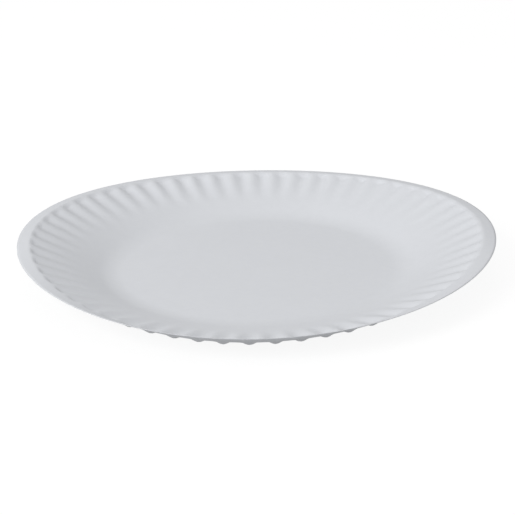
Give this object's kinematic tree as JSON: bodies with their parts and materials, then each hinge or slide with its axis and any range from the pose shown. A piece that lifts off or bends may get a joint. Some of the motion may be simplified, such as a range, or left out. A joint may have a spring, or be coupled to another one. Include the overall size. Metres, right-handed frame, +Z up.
{
  "type": "paper plate",
  "caption": "Round disposable plate pressed from a sheet of white paperboard, with a flat base, a fluted sloping wall and a narrow smooth lip.",
  "frame": {"origin": "centre of the base's underside, where the plate rests", "axes": "+Z up out of the well, -Y to the front of the plate, where the lip has sprung up, +X to its right"},
  "size_m": [0.229, 0.229, 0.0194],
  "materials": {
    "paperboard": "matt uncoated white paperboard"
  },
  "bodies": {
    "root": {"plate": "paperboard"}
  },
  "joints": []
}
